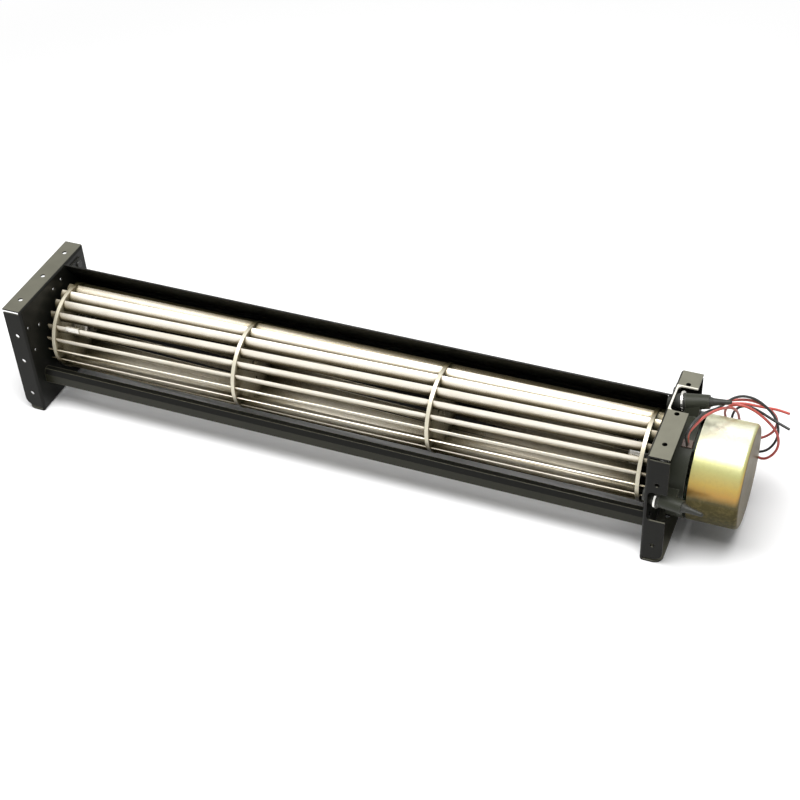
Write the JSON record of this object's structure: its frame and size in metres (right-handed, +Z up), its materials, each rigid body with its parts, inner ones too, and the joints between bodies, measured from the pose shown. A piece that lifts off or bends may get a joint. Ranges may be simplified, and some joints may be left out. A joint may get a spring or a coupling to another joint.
{
  "type": "cross flow fan",
  "caption": "Cross flow fan: a long slotted drum of curved blades in a sheet housing, turned by an external-rotor motor on rubber plugs at one end",
  "frame": {"origin": "under the middle of the box round the fan without its leads, on the plane that the end plates stand on", "axes": "+X along the drum to the motor, +Y from the open front to the rear wall, +Z up"},
  "size_m": [0.5139, 0.0969, 0.0931],
  "materials": {
    "blade_aluminium": "satin",
    "disc_sheet": "satin",
    "bright_steel": "machined",
    "black_sheet": "semi-gloss",
    "dark_strip": "semi-gloss",
    "dark_rivet": "semi-gloss",
    "clip_steel": "satin",
    "black_rubber": "matte",
    "sintered_bronze": "satin",
    "white_nylon": "matte",
    "motor_casting": "satin",
    "brown_insulator": "matte",
    "board_green": "satin",
    "core_steel": "satin",
    "copper_wire": "gloss",
    "yellow_zinc": "gloss",
    "ferrite": "matte",
    "washer_steel": "satin",
    "red_insulation": "satin",
    "black_insulation": "satin"
  },
  "bodies": {
    "housing": {"left_end_plate": "black_sheet", "right_end_plate": "black_sheet", "rear_wall": "black_sheet", "stabiliser_strip": "dark_strip", "rivets": "dark_rivet", "bearing_ring": "black_rubber", "bearing_bush": "sintered_bronze", "motor_flange": "motor_casting", "lead_grommet": "brown_insulator", "circuit_board": "board_green", "motor_bearing_inner": "bright_steel", "motor_bearing_outer": "bright_steel", "stator_core": "core_steel", "stator_windings": "copper_wire", "rubber_plug_upper": "black_rubber", "rubber_plug_front": "black_rubber", "rubber_plug_rear": "black_rubber", "plug_washers": "washer_steel", "red_lead": "red_insulation", "black_lead": "black_insulation"},
    "rotor": {"blade_01": "blade_aluminium", "blade_02": "blade_aluminium", "blade_03": "blade_aluminium", "blade_04": "blade_aluminium", "blade_05": "blade_aluminium", "blade_06": "blade_aluminium", "blade_07": "blade_aluminium", "blade_08": "blade_aluminium", "blade_09": "blade_aluminium", "blade_10": "blade_aluminium", "blade_11": "blade_aluminium", "blade_12": "blade_aluminium", "blade_13": "blade_aluminium", "blade_14": "blade_aluminium", "blade_15": "blade_aluminium", "blade_16": "blade_aluminium", "blade_17": "blade_aluminium", "blade_18": "blade_aluminium", "blade_19": "blade_aluminium", "blade_20": "blade_aluminium", "left_end_disc": "disc_sheet", "middle_disc_1": "disc_sheet", "middle_disc_2": "disc_sheet", "right_end_disc": "disc_sheet", "left_hub": "bright_steel", "right_hub": "bright_steel", "hub_screw": "bright_steel", "balance_clip": "clip_steel", "thrust_washer": "white_nylon", "stub_shaft": "bright_steel", "motor_shaft": "bright_steel", "rotor_cup": "yellow_zinc", "magnet_ring": "ferrite"}
  },
  "joints": [
    {"name": "drum_spin", "type": "hinge", "parent": "housing", "child": "rotor", "pos_m": [0, 0.00564, 0.045], "axis": [1, 0, 0], "continuous": true}
  ]
}
